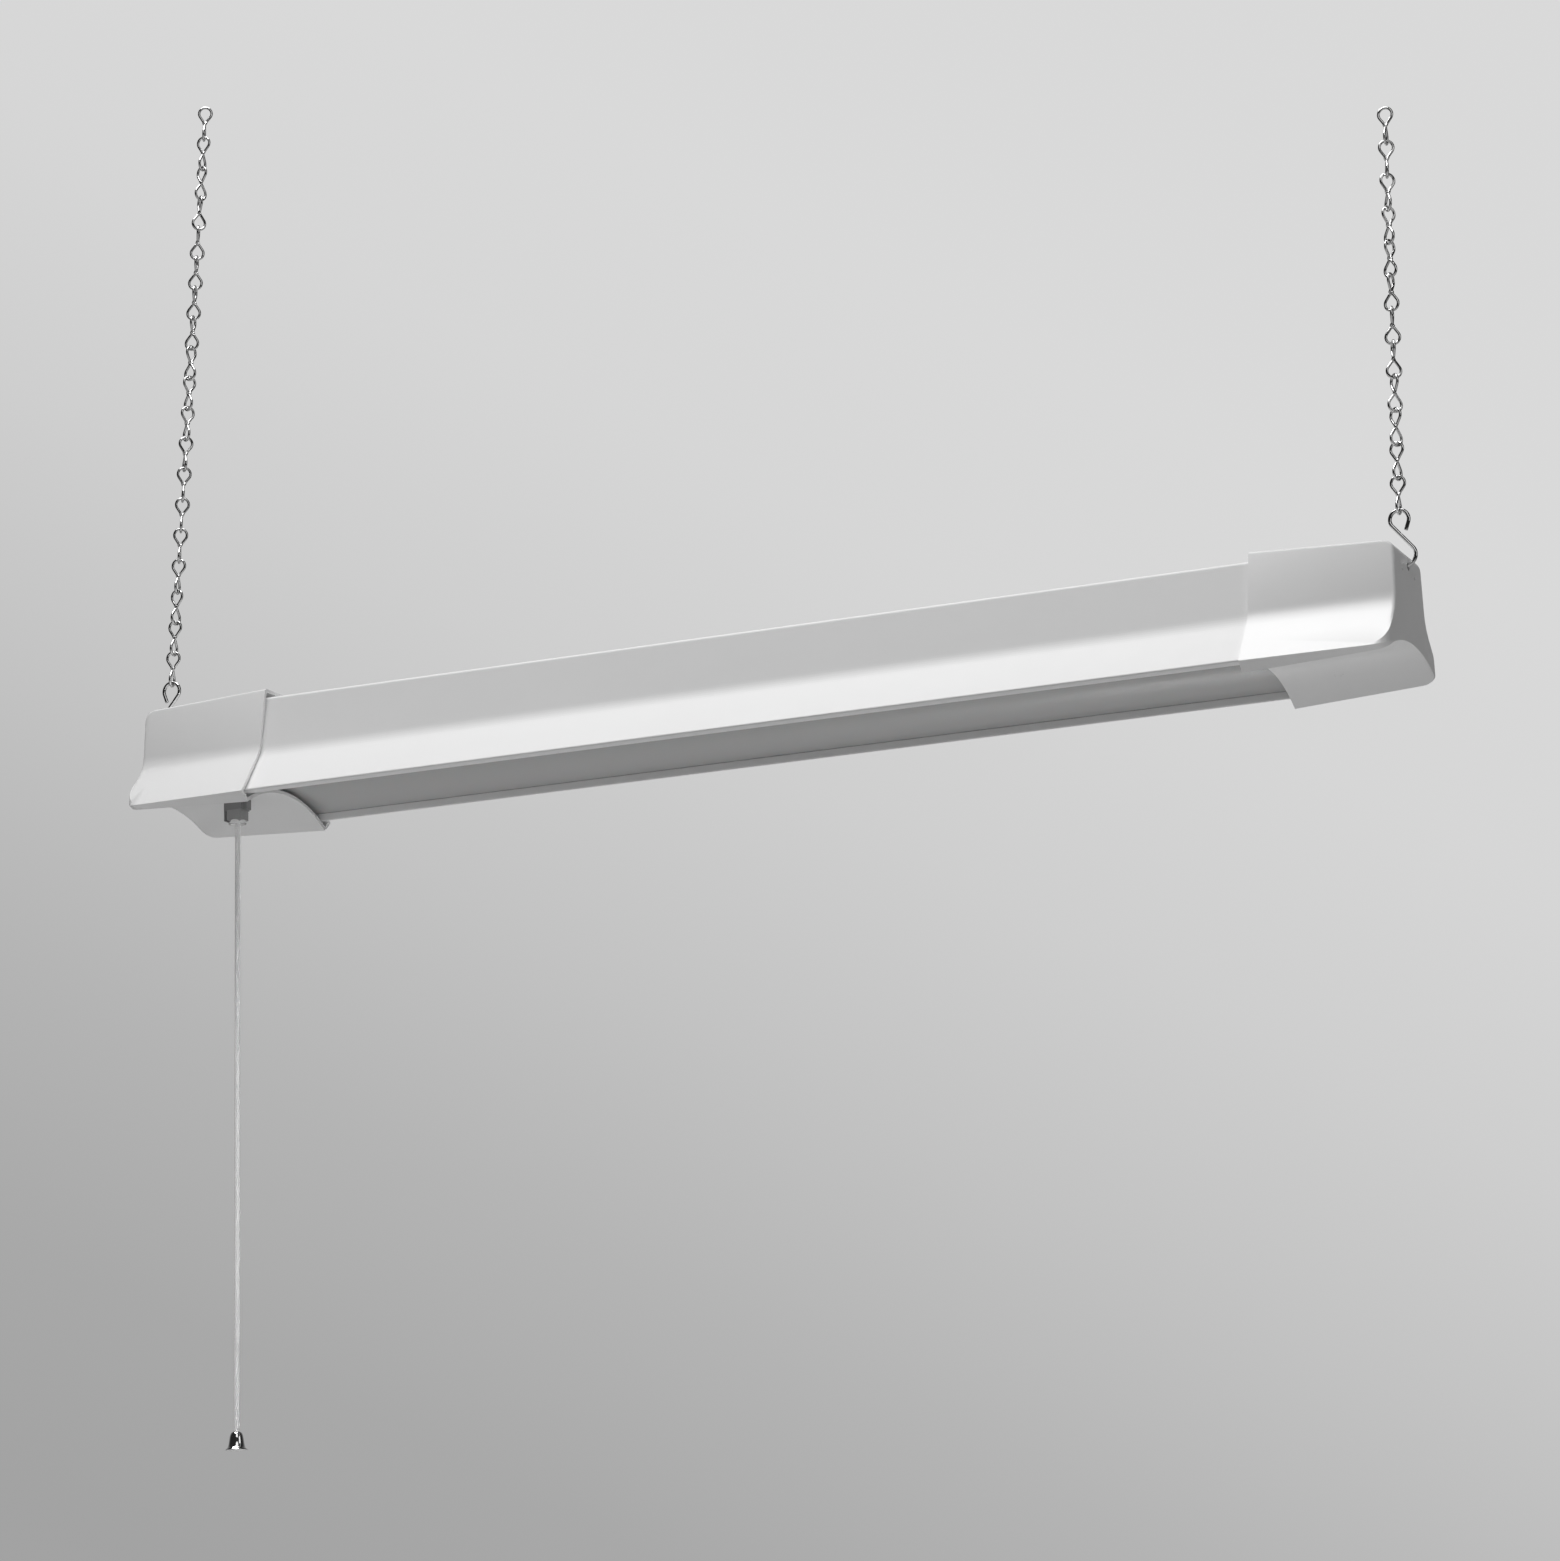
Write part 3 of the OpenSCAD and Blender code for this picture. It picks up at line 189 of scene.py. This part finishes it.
# drawn and plated wire: bright metal with faint cloudy plating and fine scratches
def makeMetal(name, tone, rough, cloud=0.06, scratch=0.3):
    material, start, place = newMaterial(name)
    clouds = start.node("ShaderNodeTexNoise", None, {"Vector": place, "Scale": 240.0, "Detail": 4.0})
    lines = start.node("ShaderNodeTexNoise", None, {"Vector": place, "Scale": 900.0, "Detail": 2.0})
    colour = start.node("ShaderNodeMix", {"data_type": "RGBA"},
                        {"Factor": clouds, 6: grey(tone * (1 - cloud)), 7: grey(tone)}, out=2)
    bump = start.node("ShaderNodeBump", None,
                      {"Strength": scratch, "Distance": 0.00005, "Height": lines})
    closeMaterial(start, {"Base Color": colour, "Metallic": 1.0,
                          "Roughness": rough - 0.05 + clouds * 0.1, "Normal": bump})
    return material


# braided cord: two crossing bands of yarn
def makeBraid(name, tone):
    material, start, place = newMaterial(name)
    split = start.node("ShaderNodeMapping", None, {"Vector": place, "Scale": (1.0, 1.0, 0.55)})
    one = start.node("ShaderNodeTexWave", {"wave_type": "BANDS", "bands_direction": "DIAGONAL"},
                     {"Vector": split, "Scale": 260.0, "Distortion": 1.0, "Detail": 1.0})
    flip = start.node("ShaderNodeMapping", None, {"Vector": split, "Scale": (-1.0, -1.0, 1.0)})
    two = start.node("ShaderNodeTexWave", {"wave_type": "BANDS", "bands_direction": "DIAGONAL"},
                     {"Vector": flip, "Scale": 260.0, "Distortion": 1.0, "Detail": 1.0})
    yarn = start.maths("MAXIMUM", one, two)
    fuzz = start.node("ShaderNodeTexNoise", None, {"Vector": place, "Scale": 2500.0, "Detail": 2.0})
    colour = start.node("ShaderNodeMix", {"data_type": "RGBA"},
                        {"Factor": yarn, 6: grey(tone * 0.88), 7: grey(tone)}, out=2)
    bump = start.node("ShaderNodeBump", None,
                      {"Strength": 0.4, "Distance": 0.0003, "Height": yarn * 0.8 + fuzz * 0.2})
    closeMaterial(start, {"Base Color": colour, "Roughness": 0.85, "Sheen Weight": 0.4, "Normal": bump})
    return material


finishes = {
    "white_paint": makeShell("housingPaint", 0.86, 0.52, 700.0),
    "white_plastic": makeShell("capPlastic", 0.86, 0.3, 1400.0),
    "lens": makeShell("frostedLens", 0.5, 0.18, 900.0, soft=0.1),
    "zinc": makeMetal("platedWire", 0.66, 0.1),
    "chrome": makeMetal("chrome", 0.86, 0.08, cloud=0.02, scratch=0.05),
    "board": makeShell("whiteBoard", 0.8, 0.45, 1200.0),
    "lamp": makeShell("lampPhosphor", 0.7, 0.5, 1500.0, warm=(1, 0.85, 0.3)),
    "driver_metal": makeShell("driverCase", 0.6, 0.4, 900.0, metal=1.0),
    "green_board": makeShell("driverBoard", 0.25, 0.4, 900.0, warm=(0.2, 1, 0.4)),
    "winding": makeShell("windingTape", 0.7, 0.5, 900.0, warm=(1, 0.8, 0.25)),
    "capacitor": makeShell("capacitorSleeve", 0.2, 0.3, 900.0, warm=(0.3, 0.4, 1)),
    "dark_plastic": makeShell("darkPlastic", 0.3, 0.4, 1200.0, mottle=0.1),
    "grey_plastic": makeShell("greyPlastic", 0.22, 0.45, 1200.0, mottle=0.08),
    "pale_plastic": makeShell("palePlastic", 0.75, 0.4, 1200.0, warm=(1, 0.98, 0.9)),
    "contact_brass": makeShell("contactBrass", 0.8, 0.25, 900.0, metal=1.0, warm=(1, 0.78, 0.35)),
    "cord": makeBraid("cordYarn", 1.0),
    "black_wire": makeShell("blackInsulation", 0.03, 0.35, 1500.0, mottle=0.2),
    "white_wire": makeShell("whiteInsulation", 0.82, 0.35, 1500.0),
    "red_wire": makeShell("redInsulation", 0.5, 0.35, 1500.0, warm=(1, 0.08, 0.06)),
}
slotOf = {row["node"]: row["material_slot"] for row in frame["record"]["subparts"]}
bodyOf = {n: body for body, names in frame["record"]["behaviour"]["bodies"].items() for n in names}
for name, node in nodes.items():
    node.data.materials.clear()
    node.data.materials.append(finishes[slotOf[name]])
print("materials made:", len(finishes))

# the cord
pullCord = {"x": -511.0, "diameter": 4.8, "stepLength": 32.0,
            "route": [(0, 0, -7.9), (0, 0, -22), (-0.1, 0, -42), (-0.3, 0, -60), (-1, 0, -160),
                      (-1.8, 0, -280), (-2.6, 0, -400), (-3.4, 0, -500), (-4, 0, -556)]}


def cordPoints(route, step):
    points = [Vector(route[0])]
    for a, b in zip(route, route[1:]):
        a, b = Vector(a), Vector(b)
        parts = max(1, round((b - a).length / step))
        points += [a.lerp(b, k / parts) for k in range(1, parts + 1)]
    return points


cordLine = [lampPoint(p.x + pullCord["x"], p.y, p.z)
            for p in cordPoints(pullCord["route"], pullCord["stepLength"])]
cordCurve = bpy.data.curves.new("pullCordLine", "CURVE")
cordCurve.dimensions = "3D"
cordCurve.bevel_depth, cordCurve.bevel_resolution = pullCord["diameter"] / 2 * mm, 5
cordCurve.use_fill_caps = True
spline = cordCurve.splines.new("POLY")
spline.points.add(len(cordLine) - 1)
for point, place in zip(spline.points, cordLine):
    point.co = (*place, 1)
cord = addObject("pullCord", cordCurve, "pull_cord", finishes["cord"], ["pull_cord"])

# bell and knot on the cord
bell = {"x": -515.0, "top": -553.78, "hole": 2.6, "steps": 64}
bell["outside"] = [(3.5, -0.1), (4.5, -0.7), (5.3, -1.9), (5.9, -3.6), (6.3, -5.6), (6.7, -8.2),
                   (7.1, -10.6), (7.7, -12.8), (8.6, -14.4), (9.8, -15.4), (10.0, -16.0)]
bell["inside"] = [(9.5, -16.0), (8.7, -15.4), (7.6, -14.1), (6.8, -12.6), (6.2, -10.4), (5.8, -8.2),
                  (5.4, -5.8), (4.9, -3.8), (4.3, -2.2), (3.6, -1.2)]
outline = [(bell["hole"], 0)] + bell["outside"] + bell["inside"] + [(bell["hole"], -1.0)]


def spunMesh(name, profile, x, y, topZ, steps, sharpAngle=50):
    bm = bmesh.new()
    verts = [bm.verts.new(lampPoint(x + r, y, topZ + z)) for r, z in profile]
    edges = [bm.edges.new(pair) for pair in zip(verts, verts[1:] + verts[:1])]
    bmesh.ops.spin(bm, geom=verts + edges, cent=lampPoint(x, y, topZ), axis=(0, 0, 1),
                   angle=math.tau, steps=steps, use_merge=True)
    return meshFrom(bm, name, sharpAngle)


bellPiece = addObject("cordBell", spunMesh("cordBell", outline, bell["x"], 0, bell["top"], bell["steps"]),
                      "pull_cord", finishes["chrome"], ["cord_bell"])
knot = {"x": -515.0, "z": -558.72, "radius": 1.9, "sway": 0.42, "rise": 1.15, "strand": 1.5,
        "points": 72}
knotPoints = []
for k in range(knot["points"]):      # a trefoil: twice round while it weaves three times
    a = math.tau * k / knot["points"]
    swing = knot["radius"] + knot["sway"] * math.cos(3 * a)
    knotPoints.append(lampPoint(knot["x"] + swing * math.cos(2 * a), swing * math.sin(2 * a),
                                knot["z"] + knot["rise"] * math.sin(3 * a)))
bm = bmesh.new()
wireMesh(bm, knotPoints, knot["strand"] * mm, sides=10, closed=True)
knotPiece = addObject("cordKnot", meshFrom(bm, "cordKnot"), "pull_cord", finishes["cord"],
                      ["cord_knot"])
print("bell and knot made")

# jack chain
chain = {"wire": 1.2, "eye": 5.8, "half": 15.85, "waistX": 1.35, "waistZ": 1.9, "arcSteps": 18,
         "pitch": 29.0, "firstZ": 126.9,
         "hookX": 579.0, "leftLean": 3.9, "rightLean": 1.5, "rightTurns": [-16 * i for i in range(12)],
         "leftTurns": [11, 3, -8, 12, 26, 30, 34, 42, 55, 63, 80, 102, 108, 111, 116, 136, 160, 184, 205]}


# one closed wire: round the upper eye, past itself at the waist, and round the lower eye,
# which stands square to the upper one
def buildLink():
    eye, high = chain["eye"], chain["half"] - chain["eye"]
    waistX, waistZ, steps = chain["waistX"], chain["waistZ"], chain["arcSteps"]
    touch = math.acos(eye / math.hypot(waistX, high - waistZ)) - math.atan2(high - waistZ, waistX)
    angles = [touch + (math.pi - 2 * touch) * k / steps for k in range(steps + 1)]
    arc = [Vector((eye * math.cos(a), 0, high + eye * math.sin(a))) for a in angles]
    leg = [arc[-1].lerp(Vector((-waistX, 0, waistZ)), t) for t in (0.3, 0.6, 0.85, 1.0)]
    upper = [Vector((-p.x, 0, p.z)) for p in reversed(leg)] + arc + leg
    lower = [Vector((0, p.x, -p.z)) for p in upper]
    cross = [Vector(p) for p in ((-1.25, 0.45, 0.8), (-0.95, 0.95, 0.0), (-0.45, 1.25, -0.8))]
    back = [Vector((-p.x, -p.y, p.z)) for p in reversed(cross)]
    bm = bmesh.new()
    wireMesh(bm, [p * mm for p in upper + cross + lower[::-1] + back], chain["wire"] * mm, sides=10,
             closed=True)
    return meshFrom(bm, "chainLink", 60)


linkMesh = buildLink()


def chainMesh(name, x, lean, turns, first, last):
    bm = bmesh.new()
    for i in range(first, last + 1):
        rise = (i * chain["pitch"] + chain["half"]) * mm
        place = (Matrix.Translation(lampPoint(x, 0, chain["firstZ"]))
                 @ Matrix.Rotation(math.radians(lean), 4, "Y")
                 @ Matrix.Translation((0, 0, rise))
                 @ Matrix.Rotation(math.radians(turns[i]), 4, "Z"))
        one = linkMesh.copy()
        one.transform(place)
        bm.from_mesh(one)
        bpy.data.meshes.remove(one)
    return meshFrom(bm, name, 60)


for side, x in (("left", -chain["hookX"]), ("right", chain["hookX"])):
    lean, turns = chain[side + "Lean"], chain[side + "Turns"]
    last = len(turns) - 1
    addObject(side + "Chain", chainMesh(side + "Chain", x, lean, turns, 0, last - 1), "chains",
              finishes["zinc"], [side + "_chain"])
    addObject(side + "CeilingLink", chainMesh(side + "CeilingLink", x, lean, turns, last, last),
              "ceiling_links", finishes["zinc"], [side + "_ceiling_link"])
print("chains made")

# S-hooks
hook = {"wire": 1.6, "topX": 579.0, "topZ": 122.0, "topR": 8.0, "lowX": 582.0, "lowZ": 91.5,
        "lowR": 9.2, "tail": 7.5, "tailAngle": -20.0, "tipAngle": -145.0, "topSteps": 30, "lowSteps": 32,
        "cutEdge": 0.35}


def around(x, z, radius, angle):
    return x + radius * math.cos(angle), z + radius * math.sin(angle)


def hookMesh(name, side):
    dx, dz = hook["lowX"] - hook["topX"], hook["topZ"] - hook["lowZ"]
    slope = math.degrees(math.atan2(dz, dx)
                         - math.asin((hook["topR"] + hook["lowR"]) / math.hypot(dx, dz)))
    tail = math.radians(hook["tailAngle"])
    start = around(hook["topX"], hook["topZ"], hook["topR"], tail)
    points = [(start[0] + hook["tail"] * t * math.sin(tail), start[1] - hook["tail"] * t * math.cos(tail))
              for t in (1.0, 0.66, 0.33)]
    for k in range(hook["topSteps"] + 1):
        a = hook["tailAngle"] + (270 - slope - hook["tailAngle"]) * k / hook["topSteps"]
        points.append(around(hook["topX"], hook["topZ"], hook["topR"], math.radians(a)))
    for k in range(hook["lowSteps"] + 1):
        a = 90 - slope + (hook["tipAngle"] - 90 + slope) * k / hook["lowSteps"]
        points.append(around(hook["lowX"], hook["lowZ"], hook["lowR"], math.radians(a)))
    bm = bmesh.new()
    rings = wireMesh(bm, [lampPoint(side * x, 0, z) for x, z in points], hook["wire"] * mm, sides=16)
    for ring in (rings[0], rings[-1]):          # cut wire ends, slightly rounded
        bmesh.ops.bevel(bm, geom=ring, offset=hook["cutEdge"] * mm, segments=2, profile=0.5,
                        affect="EDGES", material=-1)
    return meshFrom(bm, name, 50)


for name, side in (("left", -1), ("right", 1)):
    addObject(name + "Hook", hookMesh(name + "Hook", side), "hooks", finishes["zinc"],
              [name + "_hook"])
print("hooks made")


# end caps: the frame's own shells, with flat faces joined and soft shading
caps = {"nodes": {"left_end_cap": "leftCap", "right_end_cap": "rightCap"}, "weld": 2e-6, "flat": 0.5,
        "sharpAngle": 28}
for name, newName in caps["nodes"].items():
    bm = bmesh.new()
    bm.from_mesh(nodes[name].data)
    bmesh.ops.remove_doubles(bm, verts=bm.verts, dist=caps["weld"])
    bmesh.ops.dissolve_limit(bm, angle_limit=math.radians(caps["flat"]), verts=bm.verts, edges=bm.edges)
    addObject(newName, meshFrom(bm, newName, caps["sharpAngle"]), bodyOf[name],
              finishes[slotOf[name]], [name])
print("caps made")

# floor, light, air
studio = {"floorZ": -1.75, "floorSize": 14.0, "floorTone": 0.72, "backGlow": 0.45, "backNarrow": 3.0,
          "roomGlow": 0.02}
bm = bmesh.new()
bmesh.ops.create_grid(bm, x_segments=1, y_segments=1, size=studio["floorSize"] / 2,
                      matrix=Matrix.Translation((0, 0, studio["floorZ"])))
floorMesh = bpy.data.meshes.new("studioFloor")
bm.to_mesh(floorMesh)
bm.free()
floor = bpy.data.objects.new("studioFloor", floorMesh)
bpy.context.scene.collection.objects.link(floor)
floorMaterial, start, place = newMaterial("paleFloor")
dust = start.node("ShaderNodeTexNoise", None, {"Vector": place, "Scale": 3.0})
closeMaterial(start, {"Base Color": start.node("ShaderNodeMix", {"data_type": "RGBA"},
                                               {"Factor": dust, 6: grey(studio["floorTone"] - 0.02),
                                                7: grey(studio["floorTone"] + 0.02)}, out=2),
                      "Roughness": 0.8})
floorMesh.materials.append(floorMaterial)

world = bpy.data.worlds.new("studioAir")
world.use_nodes = True
tree = world.node_tree
tree.nodes.clear()
air = Wire(tree, None)
look = air.node("ShaderNodeTexCoord", out=0)


def facing(direction):      # how far a look goes along a direction, from -1 to 1
    return air.node("ShaderNodeVectorMath", {"operation": "DOT_PRODUCT"}, {0: look, 1: direction}, out=1)


# the wall is darkest low on the left
wallTones = [(0.4, 0.365), (0.422, 0.394), (0.448, 0.459), (0.474, 0.543), (0.5, 0.619), (0.526, 0.672),
             (0.553, 0.696), (1.0, 0.697)]
wall = air.node("ShaderNodeValToRGB", {"stops": [(place, grey(tone)) for place, tone in wallTones]},
                {0: facing((0.518, 0.011, 0.855)) * 0.5 + 0.5})
behind = air.maths("POWER", air.maths("MAXIMUM", facing((-0.39, 0.9, 0.19)), 0.0), studio["backNarrow"])
# the camera sees the plain wall, while the lamp is lit by a faint glow from behind
paths = air.node("ShaderNodeLightPath", out=0)
seen = air.node("ShaderNodeMix", {"data_type": "RGBA"},
                {"Factor": paths, 6: behind * studio["backGlow"] + studio["roomGlow"], 7: wall}, out=2)
glow = air.node("ShaderNodeBackground", None, {"Color": seen, "Strength": 1.0})
air.node("ShaderNodeOutputWorld", None, {0: glow})
bpy.context.scene.world = world
bpy.context.scene.view_settings.view_transform = "Standard"

lights = {
    "topLight": {"place": (-0.45, -0.6, 2.4), "aim": (0, 0, -0.5), "size": 2.4, "power": 104},
    "frontLight": {"place": (1.4, -2.6, 1.6), "aim": (0.2, 0, -0.5), "size": 2.0, "power": 14},
    "sideLight": {"place": (3.4, -0.8, 0.2), "aim": (0, 0, -0.5), "size": 1.6, "power": 8},
    "underLight": {"place": (-0.3, 2.6, -1.4), "aim": (0, 0, -0.55), "size": 0.55, "power": 14,
                   "mirrored": False},
    "cordLight": {"place": (1.7, -1.9, -1.15), "aim": (-0.51, 0, -0.93), "size": 0.4, "power": 0.25,
                  "spread": 16},
}
for name, light in lights.items():
    data = bpy.data.lights.new(name, "AREA")
    data.size, data.energy = light["size"], light["power"]
    data.spread = math.radians(light.get("spread", 180))
    lamp = bpy.data.objects.new(name, data)
    toward = Vector(light["aim"]) - Vector(light["place"])
    lamp.location = light["place"]
    lamp.rotation_euler = toward.to_track_quat("-Z", "Y").to_euler()
    lamp.visible_glossy = light.get("mirrored", True)
    bpy.context.scene.collection.objects.link(lamp)
print("studio made")
